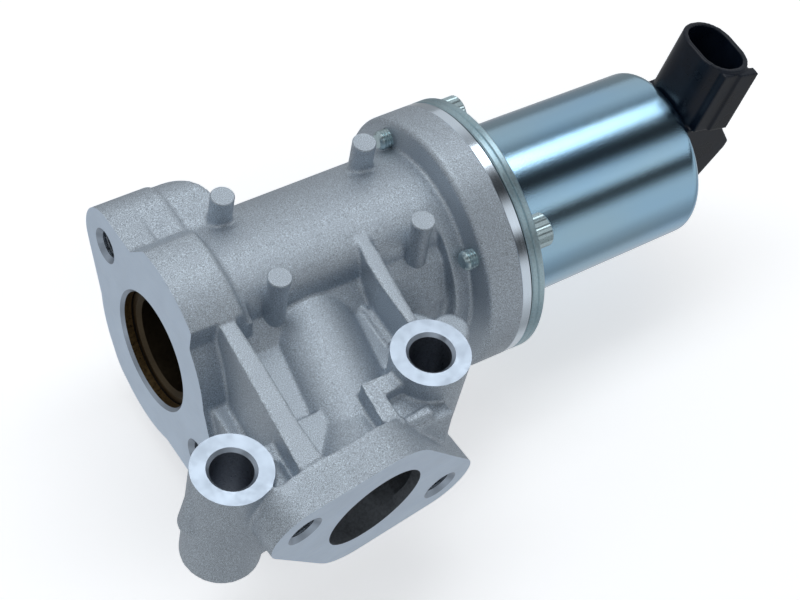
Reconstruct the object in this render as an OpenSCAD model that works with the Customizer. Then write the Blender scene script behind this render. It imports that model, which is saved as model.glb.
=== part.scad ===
// Solenoid exhaust gas recirculation valve with a cast housing, in millimetres.
// The origin is the centre of the inlet port on its machined face.
// +X runs along the valve axis to the solenoid, +Z to the mounting boss faces, -Y to the outlet.

/* [Inlet flange] */
// Bore radius of the inlet port
inlet_r = 14.7; // [14:0.1:15.2]
// Chamfer on the inlet port's edge
inlet_chamfer = 0.8; // [0.4:0.1:1.2]
// Thickness of the inlet flange
inlet_flange_t = 7; // [6:0.5:9]
// Distance from the valve axis to each tapped hole of the inlet flange
inlet_hole_reach = 27.2; // [26.5:0.1:28.5]
// Angle of the line through those holes, above the horizontal
inlet_hole_turn = 26.7; // [24:0.5:29]
// Outer radius round each tapped hole of the inlet flange
inlet_lobe_r = 9.7; // [9:0.1:10.5]
// Radius of the inlet flange's two blunt corners
inlet_corner_r = 12; // [10:0.5:14]
// Distance of the blunt corners' edges from the axis
inlet_edge = 23.6; // [23:0.1:25]
// Sideways shift of the blunt corners from the axis
inlet_corner_shift = 7; // [5:0.5:9]
// Thickness of the deep ear behind the upper tapped hole
ear_t = 15; // [12:0.5:17]

/* [Valve barrel] */
// Outer radius of the barrel
barrel_r = 25.1; // [24.5:0.1:26]
// Length of the barrel from the inlet face to the round rim
barrel_len = 74.4; // [72:0.1:78]
// Outer radius of the collar behind the inlet flange
collar_r = 30; // [28.5:0.1:31]
// Width of the collar
collar_w = 14.5; // [12:0.5:16]
// Reach of the collar over the barrel towards +Y
collar_span = 13.5; // [12:0.5:15]
// Round edge of the collar
collar_round = 2; // [1:0.1:2.5]
// Radius of the valve chamber
chamber_r = 17.5; // [16.5:0.1:18.5]
// Length of the valve chamber behind the seat
chamber_len = 35; // [33:0.5:37]
// Thickness of the wall that holds the stem guide
guide_wall_t = 14; // [12:0.5:16]
// Radius of the spring chamber
spring_room_r = 18; // [17:0.1:19]
// Radius of the ejector stubs on the barrel
stub_r = 2.95; // [2.5:0.05:3.5]
// Height of the ejector stubs' tops above the valve axis
stub_top = 30.4; // [28:0.1:32]
// First row of stubs along the valve axis
stub_x = 24; // [22:0.5:26]
// Distance between the two rows of stubs along the axis
stub_pitch = 39; // [36:0.5:42]
// Distance between the two stubs of a row
stub_span = 26.6; // [25:0.1:28]

/* [Round flange stack] */
// Width of the round flanges outside the screw circle
rim_margin = 5; // [4.5:0.1:6]
// Thickness of the cast rim
rim_t = 9.3; // [8:0.1:11]
// Thickness of the bright turned ring
ring_t = 2.8; // [2:0.1:4]
// Thickness of the gasket
gasket_t = 0.3; // [0.2:0.1:0.6]
// Thickness of the spring plate
plate_t = 1.8; // [1.4:0.1:2.5]
// Thickness of the solenoid's own flange
coil_flange_t = 1.8; // [1.4:0.1:2.5]
// Least gap between the screws' threads and the barrel
screw_clear = 0.4; // [0.3:0.1:0.8]
// Least gap between the screws' heads and the can
head_clear = 1.15; // [0.8:0.05:1.5]
// Angle of the first screw round the valve axis, from +Y to +Z
screw_turn = 48.3; // [40:0.5:56]
// Radius of the screws' threads
screw_r = 2.5; // [2:0.1:2.6]
// Radius of the screws' heads
screw_head_r = 4.25; // [3.8:0.05:4.5]
// Length of the screws under the head
screw_len = 19.2; // [17:0.1:21]

/* [Outlet] */
// Outlet port centre along the valve axis
outlet_x = 23.4; // [22.5:0.1:24.5]
// Distance of the outlet port's centre from the valve axis, towards -Y
outlet_reach = 62.9; // [61:0.1:65]
// Height of the outlet port's centre
outlet_z = 2.9; // [2:0.1:4]
// Turn of the outlet face towards +X
outlet_yaw = 7.4; // [5:0.2:9]
// Tilt of the outlet face downwards
outlet_dip = 6.8; // [5:0.2:8]
// Bore radius of the outlet port
outlet_r = 13; // [12:0.1:13.6]
// Thickness of the outlet flange
outlet_flange_t = 9.5; // [8:0.5:11]
// Distance from the outlet port's centre to each tapped hole
outlet_hole_reach = 26.2; // [25.5:0.1:27.5]
// Angle of the line through those holes, below the horizontal on the +X side
outlet_hole_turn = 28.4; // [26:0.2:31]
// Outer radius round each tapped hole of the outlet flange
outlet_lobe_r = 9.2; // [8.8:0.1:10]
// Radius of the outlet flange's two blunt corners
outlet_corner_r = 16; // [14:0.5:18]
// Height of the outlet flange's upper edge above its port centre
outlet_edge = 21.8; // [21:0.1:23]
// Outer radius of the outlet passage
passage_r = 16.5; // [16.2:0.1:17.5]
// Wall of the outlet passage
passage_wall = 4; // [3:0.1:4.5]
// Distance of the passage's bend from the valve axis, towards -Y
bend_reach = 30; // [28:0.5:32]
// Shift of the bend along the valve axis from the outlet port's centre
bend_shift = 4.4; // [3:0.1:5]
// Height of the bend above the outlet port's centre
bend_rise = 4.6; // [3.5:0.1:5]
// Cut in the radius of the branch that leads to the valve chamber
branch_cut = 1; // [0.8:0.1:1.4]

/* [Mounting bosses] */
// Height of the boss faces and rib tops above the valve axis
boss_top = 25; // [24:0.1:26]
// Outer radius of the bosses
boss_r = 9.45; // [9:0.05:10.2]
// Bore radius of the bosses
boss_bore_r = 5; // [4.2:0.1:5.5]
// Length of the bosses
boss_len = 32.5; // [30:0.5:35]
// First boss along the valve axis
boss1_x = -9.5; // [-11:0.1:-8.5]
// First boss, distance from the axis towards -Y
boss1_reach = 51.2; // [50:0.1:52.5]
// Second boss along the valve axis
boss2_x = 46.8; // [46:0.1:48]
// Second boss, distance from the axis towards -Y
boss2_reach = 43.8; // [42.5:0.1:45]
// Chamfer of the boss bores
boss_chamfer = 0.8; // [0.5:0.1:1.2]

/* [Ribs and web] */
// Width of each rib
rib_w = 6; // [5:0.1:7]
// First rib's root along the valve axis
rib1_x = 13; // [12:0.1:14]
// Second rib's root along the valve axis
rib2_x = 54; // [53:0.1:56]
// Drift of the ribs towards -X, in degrees from -Y
rib_drift = 4.3; // [3:0.1:5.5]
// Height of the web's upper face above the valve axis
web_top = 20.5; // [19.5:0.1:21.5]
// Thickness of the web
web_t = 5; // [4:0.1:6]
// Edge of the web at the deep pocket, along the valve axis
web_edge = 41; // [40:0.1:42]
// Height of the small pads above the web
pad_step = 1.6; // [1:0.1:2.2]
// Corner of the small pads along the valve axis
pad_x = 29; // [28:0.5:30]
// Width of the small pads
pad_w = 5; // [4:0.1:5.5]
// Depth of the pocket's floor below the valve axis
pocket_depth = 6; // [5:0.5:8]
// End of the shelf beside the second rib, along the valve axis
shelf_x = 70; // [67:0.5:72]

/* [Tapped holes] */
// Tapping radius of the flange bolts' holes
tap_r = 3.4; // [3.2:0.05:3.6]
// Countersink radius at the mouth of the tapped holes
tap_mouth_r = 4.6; // [4.2:0.1:5]
// Depth of the tapped holes
tap_depth = 13; // [11:0.5:14]

/* [Valve and spring] */
// Opening lift of the valve
lift = 6; // [4:0.1:6.4]
// Radius of the stem
stem_r = 3.5; // [3:0.1:3.8]
// Length of the stem inside the armature
stem_fit = 12; // [10:0.5:14]
// Length of the valve seat ring
seat_t = 8; // [7:0.1:9]
// Bore radius of the seat ring
seat_bore_r = 12; // [11.5:0.1:12.3]
// Outer radius of the valve head
head_r = 13.6; // [13.2:0.1:14]
// Rim thickness of the valve head
head_t = 2.5; // [2:0.1:3]
// Outer radius of the stem guide
guide_r = 7; // [6.2:0.1:8]
// Mean radius of the return spring
spring_r = 11.5; // [11:0.1:12.5]
// Wire radius of the return spring
wire_r = 0.9; // [0.7:0.05:1]
// Number of spring turns
spring_turns = 5; // [4:0.5:6]

/* [Solenoid] */
// Outer radius of the can at its open end
can_r = 22.6; // [22.2:0.1:22.7]
// Outer radius of the can at its closed end
can_end_r = 21.8; // [21.4:0.1:22]
// Length of the can
can_len = 57.1; // [54:0.1:60]
// Wall of the can
can_wall = 1.2; // [1:0.05:1.4]
// Radius of the armature
armature_r = 8.9; // [8.5:0.1:9.2]
// Length of the armature
armature_len = 29.5; // [26:0.5:31]
// Wall of the armature sleeve
sleeve_wall = 0.9; // [0.7:0.05:1]
// Outer radius of the coil winding
winding_r = 18.6; // [17:0.1:19]

/* [Connector] */
// Lean of the socket towards +X, in degrees from +Z
socket_lean = 15; // [10:0.5:20]
// Half width of the socket across the valve axis
socket_half_y = 9.4; // [9:0.1:9.8]
// Half width of the socket along the valve axis
socket_half_x = 7.4; // [7:0.1:7.8]
// Height of the socket's mouth above the valve axis
socket_top = 34.2; // [32:0.1:36]
// Wall of the socket
socket_wall = 1.4; // [1.2:0.1:1.7]
// Depth of the socket
socket_depth = 15; // [13:0.5:16]
// Distance of the socket's mouth from the can's end
socket_out = 11.2; // [10.8:0.1:12]
// Height of the guide plate beside the socket
guide_h = 19; // [17:0.5:20]
// Width of the blade terminals
blade_w = 2.8; // [2.2:0.1:3.2]
// Length of the blades inside the socket
blade_out = 8; // [6:0.5:10]
// Length of the blades inside the plastic
blade_in = 5; // [3:0.5:6]
// Distance between the blades
blade_pitch = 6.4; // [5.5:0.1:7]
// Thickness of the blades
blade_t = 0.8; // [0.6:0.05:1]
// Height of the plastic body behind the can
body_top = 16.6; // [15:0.1:18]
// Depth of the plastic body below the valve axis
body_low = 19; // [16:0.5:20]
// Radius of the plastic neck that passes the can's end
neck_r = 12; // [10:0.5:13]

/* [Hidden] */
$fn = 96;

// Clearances
press_gap = 0.01;
slide_gap = 0.05;
armature_gap = 0.08;
loose_gap = 0.2;
screw_gap = 0.25;
eps = 0.01;

// Turn between two points of a rounded outline
arc_step = 9;

// Circle of the flange screws, just outside the barrel and the can, and the round flanges' edge
screw_circle_r = max(barrel_r + screw_clear + screw_r, can_r + head_clear + screw_head_r);
rim_r = screw_circle_r + rim_margin;

// Stations along the valve axis
rim_x = barrel_len;
ring_x = rim_x + rim_t;
gasket_x = ring_x + ring_t;
plate_x = gasket_x + gasket_t;
coil_flange_x = plate_x + plate_t;
can_x = coil_flange_x + coil_flange_t;
can_end_x = can_x + can_len;
seat_x = 3;
seat_back = seat_x + seat_t;
chamber_end = seat_back + chamber_len;
spring_room_x = chamber_end + guide_wall_t;
guide_nose = 4;
seal_t = 2;
seal_washer_t = 1;
clip_t = 1.2;
clip_x = spring_room_x + seal_washer_t + 2.3;
spring_seat_t = 1.5;
spring_seat_x = clip_x + clip_t;
spring_x = spring_seat_x + spring_seat_t;
hub_len = 4;
armature_x = can_x + 1.6;
armature_back = armature_x + armature_len;
stem_end = armature_x + stem_fit;
end_wall_x = can_end_x - can_wall;
pole_x = armature_back + lift + 0.7;
washer_t = 3.8;
washer_x = end_wall_x - 0.3 - washer_t;
sleeve_r = armature_r + armature_gap + sleeve_wall;
bobbin_t = 1.5;
bobbin_x = can_x + 2;
bobbin_wall = 1;
groove_depth = 0.7;

// Outlet passage route
outlet_centre = [outlet_x, -outlet_reach, outlet_z];
passage_bend = [outlet_x + bend_shift, -bend_reach, outlet_z + bend_rise];
passage_out = [outlet_x - 1.2, -outlet_reach + outlet_flange_t - 0.1, outlet_z + 1.1];
passage_bore = passage_r - passage_wall;
seat_feed = [passage_bend.x + 0.2, 0, 0];
passage_in = [passage_bend.x, passage_bend.y, passage_bend.z - 2];

// Places of the mounting bosses
boss1 = [boss1_x, -boss1_reach];
boss2 = [boss2_x, -boss2_reach];
boss_foot = boss_top - boss_len;

// Lays a flat shape given in (y, z) at x and makes it thick towards +X
module slab(x, thick) {
    translate([x, 0, 0])
        rotate([90, 0, 90])
            linear_extrude(height = thick)
                children();
}

// Turns a profile given in (x, radius) round the valve axis
module lathe() {
    rotate([0, 90, 0])
        rotate_extrude()
            mirror([1, -1, 0])
                children();
}

// Cylinder on the valve axis
module rod(x, thick, r) {
    translate([x, 0, 0])
        rotate([0, 90, 0])
            cylinder(h = thick, r = r);
}

// Cone on the valve axis
module cone(x, thick, ra, rb) {
    translate([x, 0, 0])
        rotate([0, 90, 0])
            cylinder(h = thick, r1 = ra, r2 = rb);
}

// Ring on the valve axis
module tube(x, thick, ro, ri) {
    difference() {
        rod(x, thick, ro);
        rod(x - 1, thick + 2, ri);
    }
}

// Cylinder from point a to point b
module strut(a, b, r) {
    v = b - a;
    translate(a)
        rotate([0, acos(v.z / norm(v)), atan2(v.y, v.x)])
            cylinder(h = norm(v), r = r);
}

// Cylinder from point a to point b with a round end at a
module capsule(a, b, r) {
    v = b - a;
    translate(a)
        rotate([0, acos(v.z / norm(v)), atan2(v.y, v.x)])
            rotate_extrude()
                intersection() {
                    union() {
                        circle(r = r);
                        square([r, norm(v)]);
                    }
                    translate([0, -r])
                        square([r, norm(v) + r]);
                }
}

// Point at a distance and an angle
function polar(r, a) = [r * cos(a), r * sin(a)];

// Direction that the straight edge from round corner a to round corner b faces
function edge_normal(a, b) =
    atan2(b[1] - a[1], b[0] - a[0]) - acos((a[2] - b[2]) / norm([b[0] - a[0], b[1] - a[1]]));

// Points round corner c, from the edge before it to the edge after it
function corner_arc(before, c, after) =
    let (start = edge_normal(before, c),
        sweep = (edge_normal(c, after) - start + 720) % 360,
        steps = max(1, ceil(sweep / arc_step)))
    [for (k = [0 : steps]) [c[0], c[1]] + polar(c[2], start + sweep * k / steps)];

// Flat outline of straight edges round corners [x, y, radius], listed counter-clockwise
module rounded_outline(corners) {
    n = len(corners);
    polygon([for (i = [0 : n - 1])
        each corner_arc(corners[(i + n - 1) % n], corners[i], corners[(i + 1) % n])]);
}

// Outline of a two-bolt flange with holes at a reach and a turn from the centre
module flange_outline(reach, turn, lobe_r, corner_r, edge, shift) {
    lobe = polar(reach, turn);
    blunt = [-shift, edge - corner_r];
    ends = [[lobe.x, lobe.y, lobe_r], [blunt.x, blunt.y, corner_r],
        [-lobe.x, -lobe.y, lobe_r], [-blunt.x, -blunt.y, corner_r]];
    rounded_outline(ends);
}

// Blind tapped hole along -Z with a countersunk mouth at z = 0
module tapped_hole() {
    translate([0, 0, -tap_depth])
        cylinder(h = tap_depth + 1, r = tap_r);
    translate([0, 0, tap_r - tap_mouth_r])
        cylinder(h = tap_mouth_r - tap_r + eps, r1 = tap_r, r2 = tap_mouth_r + eps);
    translate([0, 0, -tap_depth - tap_r * 0.6])
        cylinder(h = tap_r * 0.6, r1 = 0, r2 = tap_r);
}

// Frame of the outlet flange: z = 0 is its machined face, +Z points out of the port
module on_outlet() {
    translate(outlet_centre)
        rotate([90 + outlet_dip, 0, outlet_yaw])
            children();
}

// Frame of the inlet flange: z = 0 is its machined face, +Z points out of the port
module on_inlet() {
    rotate([90, 0, -90])
        children();
}

// Places of the flange screws
module on_screws(x) {
    for (i = [0 : 3])
        rotate([screw_turn + 90 * i, 0, 0])
            translate([x, screw_circle_r, 0])
                rotate([0, 90, 0])
                    children();
}

// Barrel, collar and round rim
module barrel_body() {
    rim_edge = 1.4;
    fillet = 2.5;
    rod(0, barrel_len + 1, barrel_r);
    lathe()
        difference() {
            translate([rim_x, 0])
                square([rim_t, rim_r]);
            translate([rim_x, rim_r])
                rotate(45)
                    square(rim_edge, center = true);
        }
    intersection() {
        lathe()
            difference() {
                union() {
                    square([collar_w - collar_round, collar_r]);
                    square([collar_w, collar_r - collar_round]);
                    translate([collar_w - collar_round, collar_r - collar_round])
                        circle(r = collar_round);
                    square([collar_w + fillet, barrel_r + fillet]);
                }
                translate([collar_w + fillet, barrel_r + fillet])
                    circle(r = fillet);
            }
        slab(0, collar_w + 2 * fillet)
            polygon([[-collar_span - 2.2, 0], [-collar_span - 2.2, collar_r + 10], [-1.7, collar_r + 10],
                [collar_span, collar_r - 8], [collar_span, 0]]);
    }
}

// Inlet flange with the deep ear behind its upper hole
module inlet_body() {
    lobe = polar(inlet_hole_reach, inlet_hole_turn);
    ear_top = lobe.y + inlet_lobe_r;
    shoulder = [4, ear_top - 6, 6];
    root = [8, 0, 10];
    draft = [0, 0.6, 0];
    fall_x = ear_t - 4;
    fall_r = 16;
    slab(0, inlet_flange_t)
        flange_outline(inlet_hole_reach, inlet_hole_turn, inlet_lobe_r, inlet_corner_r, inlet_edge,
            inlet_corner_shift);
    intersection() {
        union() {
            slab(0, ear_t)
                rounded_outline([[lobe.x, lobe.y, inlet_lobe_r], shoulder, root]);
            slab(0, fall_x + fall_r)
                rounded_outline([[lobe.x, lobe.y, inlet_lobe_r - draft.y], shoulder - draft, root]);
        }
        translate([0, 0, -2 * ear_top])
            linear_extrude(height = 4 * ear_top) {
                translate([fall_x, lobe.x + inlet_lobe_r - fall_r])
                    circle(r = fall_r);
                translate([0, -20])
                    square([fall_x, 20 + lobe.x + inlet_lobe_r]);
            }
    }
    slab(0, tap_depth + 4)
        translate(-lobe)
            circle(r = inlet_lobe_r - 1.5);
}

// One mounting boss without its bore
module boss_body(place, foot_r) {
    translate([place.x, place.y, boss_foot])
        cylinder(h = boss_len, r1 = foot_r, r2 = boss_r);
}

// Web between the barrel and the outlet flange, with its ribs and pads
module web_body() {
    drift = tan(rib_drift);
    rib_end = outlet_reach - 4.9;
    rib_shift = 45 * drift;
    web_foot = web_top - web_t;
    web_reach = outlet_reach - 6.9;
    shelf_foot = 2;
    ridge_foot = 4;
    wall_foot = 4;
    // Rib beside the inlet flange
    translate([0, 0, -pocket_depth])
        linear_extrude(height = boss_top + pocket_depth)
            polygon([[rib1_x - rib_w + 0.4, -12], [rib1_x + 0.9, -12],
                [rib1_x - rib_shift, -rib_end], [rib1_x - rib_w - rib_shift, -rib_end]]);
    // Rib that runs to the second boss
    linear_extrude(height = boss_top)
        polygon([[rib2_x - rib_w - 0.2, -8], [rib2_x + 0.3, -7],
            [boss2.x + 0.6, -boss2_reach + 6], [boss2.x - 4.4, -boss2_reach + 6]]);
    // Web plate up to the ridge
    translate([0, 0, web_foot])
        linear_extrude(height = web_t)
            polygon([[rib1_x - 3, -8], [rib2_x - 3, -8], [rib2_x - 4.5, -21], [web_edge, -21],
                [web_edge, -web_reach], [rib1_x - 5, -web_reach]]);
    // Shelf on the solenoid side of the second rib
    translate([0, 0, shelf_foot])
        linear_extrude(height = web_top - shelf_foot)
            rounded_outline([[shelf_x - 4, -10, 4], [rib2_x - 2, -10, 3], [boss2.x + 3, -boss2_reach + 6, 3],
                [shelf_x - 10, -boss2_reach + 6, 3.5]]);
    // Ridge at the edge of the deep pocket
    translate([web_edge, 0, ridge_foot])
        linear_extrude(height = web_top + 0.6 - ridge_foot)
            polygon([[-2.8, -20], [0.6, -20], [0.4, -35], [-1.5, -40.5], [-4.5, -44], [-7, -42], [-3, -34]]);
    // Angled pad beside the outlet flange
    translate([pad_x, -web_reach + 9, web_foot])
        cube([pad_w + 4.2, pad_w, web_t + pad_step]);
    translate([pad_x, -web_reach, web_foot])
        cube([pad_w - 0.8, 2 * pad_w, web_t + pad_step]);
    // Wall between the first boss and the rib
    translate([0, 0, -wall_foot])
        linear_extrude(height = web_top - 1 + wall_foot)
            polygon([[boss1.x + 4, -boss1_reach + 5.5], [rib1_x - 8.2, -boss1_reach + 5.5],
                [rib1_x - 8.2, -rib_end - 0.5], [boss1.x + 4, -rib_end - 0.5]]);
    // Lower wall between the inlet flange and the first boss
    translate([0, 0, -wall_foot])
        linear_extrude(height = 10)
            polygon([[4, -22], [8.5, -22], [9, -34], [2, -50], [boss1.x, -50], [boss1.x, -44], [3, -33]]);
    // Floor of the deep pocket
    translate([0, 0, -pocket_depth])
        linear_extrude(height = 5)
            polygon([[4, -18], [rib1_x - 1, -18], [rib1_x - 3.5, -57], [boss1.x + 2, -57], [2, -40],
                [5, -34]]);
}

// Outside of the outlet passage and its flange
module outlet_body() {
    capsule(passage_bend, passage_out, passage_r);
    strut(passage_in, seat_feed, passage_r - branch_cut);
    on_outlet()
        translate([0, 0, -outlet_flange_t])
            linear_extrude(height = outlet_flange_t)
                mirror([1, 0, 0])
                    flange_outline(outlet_hole_reach, outlet_hole_turn, outlet_lobe_r, outlet_corner_r,
                        outlet_edge, -0.5);
}

module valve_housing() {
    swell = [boss1.x - boss_r + 2.4, boss1.y + 1, boss_foot + 12];
    swell_rise = 3;
    swell_r = 4.2;
    stub_foot = 12;
    color("silver")
        difference() {
            union() {
                barrel_body();
                inlet_body();
                web_body();
                outlet_body();
                boss_body(boss1, boss_r);
                boss_body(boss2, boss_r - 1.4);
                // Swelling on the free side of the first boss
                translate(swell)
                    cylinder(h = swell_rise, r1 = swell_r - 2, r2 = swell_r);
                translate([swell.x, swell.y, swell.z + swell_rise])
                    cylinder(h = boss_len - 16, r1 = swell_r, r2 = swell_r - 1.9);
                for (x = [stub_x, stub_x + stub_pitch], y = [-stub_span / 2, stub_span / 2])
                    translate([x, y, stub_foot])
                        cylinder(h = stub_top - stub_foot, r = stub_r);
            }
            // Port, chamber and spring room
            rod(-1, seat_back + 2, inlet_r);
            cone(-eps, inlet_chamfer + eps, inlet_r + inlet_chamfer + eps, inlet_r);
            rod(seat_back, chamber_len, chamber_r);
            rod(chamber_end - 1, guide_wall_t + 2, guide_r + press_gap);
            rod(spring_room_x, barrel_len + rim_t - spring_room_x + 1, spring_room_r);
            // Outlet passage
            capsule(passage_bend, passage_out, passage_bore);
            strut(passage_in, seat_feed, passage_bore - branch_cut);
            on_outlet()
                translate([0, 0, -outlet_flange_t - 1])
                    cylinder(h = outlet_flange_t + 2, r = outlet_r);
            // Tapped holes of both flanges
            for (s = [-1, 1]) {
                on_inlet()
                    translate(s * polar(inlet_hole_reach, 180 - inlet_hole_turn))
                        tapped_hole();
                on_outlet()
                    translate(s * polar(outlet_hole_reach, -outlet_hole_turn))
                        tapped_hole();
            }
            // Boss bores
            for (b = [boss1, boss2]) {
                translate([b.x, b.y, boss_foot - 1])
                    cylinder(h = boss_len + 2, r = boss_bore_r);
                translate([b.x, b.y, boss_top - boss_chamfer])
                    cylinder(h = boss_chamfer + eps, r1 = boss_bore_r, r2 = boss_bore_r + boss_chamfer);
                translate([b.x, b.y, boss_top])
                    cylinder(h = 10, r = boss_r + 4);
            }
            // Tapped holes of the rim
            on_screws(rim_x - 1)
                cylinder(h = rim_t + 2, r = screw_r + press_gap);
        }
}

module valve_seat() {
    color("peru")
        difference() {
            rod(seat_x, seat_t, inlet_r - press_gap);
            rod(seat_x - 1, seat_t + 2, seat_bore_r);
            cone(seat_x - eps, 1, seat_bore_r + 1, seat_bore_r);
            cone(seat_back - 0.6, 0.6 + eps, seat_bore_r, seat_bore_r + 0.6);
        }
}

module poppet_valve() {
    nose = seat_bore_r - 0.3;
    neck_len = 5.5;
    socket_x = seat_back + slide_gap + 1;
    color("dimgray")
        difference() {
            union() {
                cone(seat_back - 1.2, 1.2 + slide_gap, nose - 0.6, nose);
                rod(seat_back + slide_gap, head_t, head_r);
                cone(seat_back + slide_gap + head_t, neck_len, head_r - 2, stem_r + 0.6);
            }
            rod(socket_x, head_t + neck_len, stem_r + press_gap);
        }
}

module valve_stem() {
    color("lightgray")
        difference() {
            union() {
                rod(seat_back + slide_gap + 1, stem_end - seat_back - slide_gap - 2, stem_r);
                cone(stem_end - 1, 1, stem_r, stem_r - 0.8);
            }
            tube(clip_x, clip_t, stem_r + 1, stem_r - groove_depth);
        }
}

module stem_guide() {
    color("goldenrod")
        tube(chamber_end - guide_nose, guide_nose + guide_wall_t - seal_t, guide_r, stem_r + slide_gap);
}

module deposit_shield() {
    shield_x = chamber_end - guide_nose - 1;
    color("darkgray")
        difference() {
            rod(shield_x, guide_nose, guide_r + 1);
            rod(shield_x + 0.9, guide_nose, guide_r + press_gap);
            rod(shield_x - 1, guide_nose, stem_r + loose_gap);
        }
}

module stem_seal() {
    color("black")
        tube(spring_room_x - seal_t, seal_t, guide_r, stem_r + slide_gap);
}

module seal_retainer() {
    color("gray")
        tube(spring_room_x, seal_washer_t, guide_r + 4, stem_r + 0.6);
}

module retainer_clip() {
    color("slategray")
        difference() {
            tube(clip_x + press_gap, clip_t - 2 * press_gap, stem_r + 2.6, stem_r - groove_depth + press_gap);
            translate([clip_x - 1, -stem_r * 0.7, 0])
                cube([clip_t + 2, stem_r * 1.4, stem_r * 3]);
        }
}

module spring_retainer() {
    color("gray")
        difference() {
            union() {
                rod(spring_seat_x, spring_seat_t, spring_r + wire_r + 1.4);
                rod(spring_seat_x, spring_seat_t + hub_len, stem_r + 2);
            }
            rod(spring_seat_x - 1, hub_len + 4, stem_r + press_gap);
        }
}

// Points of one ring of the spring's wire
function wire_ring(t, x, sides) =
    [for (k = [0 : sides - 1])
        let (a = 360 * k / sides, r = spring_r + wire_r * cos(a))
        [x + wire_r * sin(a), r * cos(360 * t), r * sin(360 * t)]];

module return_spring() {
    sides = 8;
    per_turn = 20;
    steps = spring_turns * per_turn;
    low = spring_x + wire_r + slide_gap;
    high = plate_x - wire_r - slide_gap;
    flat = 0.75;
    rise = (high - low - 4 * wire_r * 1.05 * flat) / (spring_turns - 2 * flat);
    dead = 2 * wire_r * 1.05;
    function coil_x(t) =
        t < flat ? low + dead * t
        : t > spring_turns - flat ? high - dead * (spring_turns - t)
        : low + dead * flat + (t - flat) * rise;
    points = [for (i = [0 : steps]) each wire_ring(i / per_turn, coil_x(i / per_turn), sides)];
    faces = concat(
        [[for (k = [0 : sides - 1]) k]],
        [for (i = [0 : steps - 1], k = [0 : sides - 1])
            let (m = (k + 1) % sides)
            each [[i * sides + k, (i + 1) * sides + k, (i + 1) * sides + m],
                [i * sides + k, (i + 1) * sides + m, i * sides + m]]],
        [[for (k = [0 : sides - 1]) steps * sides + sides - 1 - k]]);
    color("steelblue")
        polyhedron(points = points, faces = faces);
}

// Flat ring of the flange stack with its four screw holes
module stack_ring(x, thick, ro, ri) {
    difference() {
        tube(x, thick, ro, ri);
        on_screws(x - 1)
            cylinder(h = thick + 2, r = screw_r + screw_gap);
    }
}

module bearing_ring() {
    color("gainsboro")
        stack_ring(ring_x, ring_t, rim_r, spring_room_r);
}

module flange_gasket() {
    color("black")
        stack_ring(gasket_x, gasket_t, rim_r - 0.4, spring_room_r);
}

module spring_plate() {
    color("silver")
        stack_ring(plate_x, plate_t, rim_r, stem_r + 1);
}

module solenoid_flange() {
    color("lightsteelblue")
        stack_ring(coil_flange_x, coil_flange_t, rim_r, sleeve_r + press_gap);
}

module flange_screws() {
    head_h = 5;
    color("lightsteelblue")
        on_screws(can_x)
            difference() {
                union() {
                    translate([0, 0, -screw_len])
                        cylinder(h = screw_len, r = screw_r);
                    cylinder(h = head_h, r = screw_head_r);
                }
                translate([0, 0, head_h - 2.6])
                    cylinder(h = 3, r = 2.3, $fn = 6);
            }
}

// Can with rounded closed end and a hole for the connector's neck
module solenoid_can() {
    round_r = 3;
    color("lightsteelblue")
        difference() {
            union() {
                cone(can_x, can_len - round_r, can_r, can_end_r);
                rod(can_end_x - round_r - eps, round_r + eps, can_end_r - round_r);
                lathe()
                    translate([can_end_x - round_r, can_end_r - round_r])
                        circle(r = round_r);
            }
            cone(can_x - eps, can_len - round_r, can_r - can_wall, can_end_r - can_wall);
            rod(can_x + 1, end_wall_x - can_x - 1, can_end_r - round_r - 0.1);
            lathe()
                translate([can_end_x - round_r - eps, can_end_r - round_r - 0.1])
                    circle(r = round_r - can_wall);
            rod(can_end_x - 10, 20, neck_r);
        }
}

module can_seal() {
    seal_r = 0.85;
    color("black")
        lathe()
            translate([can_x + seal_r, can_r - can_wall - seal_r - 0.05])
                circle(r = seal_r);
}

module armature() {
    color("gray")
        difference() {
            rod(armature_x, armature_len, armature_r);
            rod(armature_x - 1, stem_end - armature_x + 1.2, stem_r + press_gap);
            cone(armature_back - 3, 3 + eps, 2, 5);
        }
}

module armature_sleeve() {
    sleeve_x = coil_flange_x + press_gap;
    color("khaki")
        tube(sleeve_x, washer_x - sleeve_x, sleeve_r, armature_r + armature_gap);
}

module pole_core() {
    color("gray")
        union() {
            rod(pole_x, end_wall_x - 0.3 - pole_x, armature_r + armature_gap - press_gap);
            cone(pole_x - 1.8, 1.8 + eps, 3, 4);
        }
}

module flux_washer() {
    color("slategray")
        tube(washer_x, washer_t, can_end_r - can_wall - 2.2, armature_r + armature_gap);
}

module coil_bobbin() {
    inner = sleeve_r + press_gap;
    color("darkslategray") {
        tube(bobbin_x, washer_x - bobbin_x, inner + bobbin_wall, inner);
        tube(bobbin_x, bobbin_t, winding_r + 0.8, inner + eps);
        tube(washer_x - bobbin_t, bobbin_t, winding_r + 0.8, inner + eps);
    }
}

module coil_winding() {
    color("chocolate")
        tube(bobbin_x + bobbin_t + press_gap, washer_x - bobbin_x - 2 * (bobbin_t + press_gap), winding_r,
            sleeve_r + bobbin_wall + 2 * press_gap);
}

// Frame of the connector socket: z = 0 at its mouth, +Z out of it
module on_socket() {
    translate([can_end_x + socket_out, 0, socket_top])
        rotate([0, socket_lean, 0])
            children();
}

// Round-ended flat shape of the socket
module socket_outline(inset) {
    round_r = socket_half_x - 0.6;
    span = socket_half_y - round_r;
    rounded_outline([[0.6, span, round_r - inset], [-0.6, span, round_r - inset],
        [-0.6, -span, round_r - inset], [0.6, -span, round_r - inset]]);
}

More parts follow.
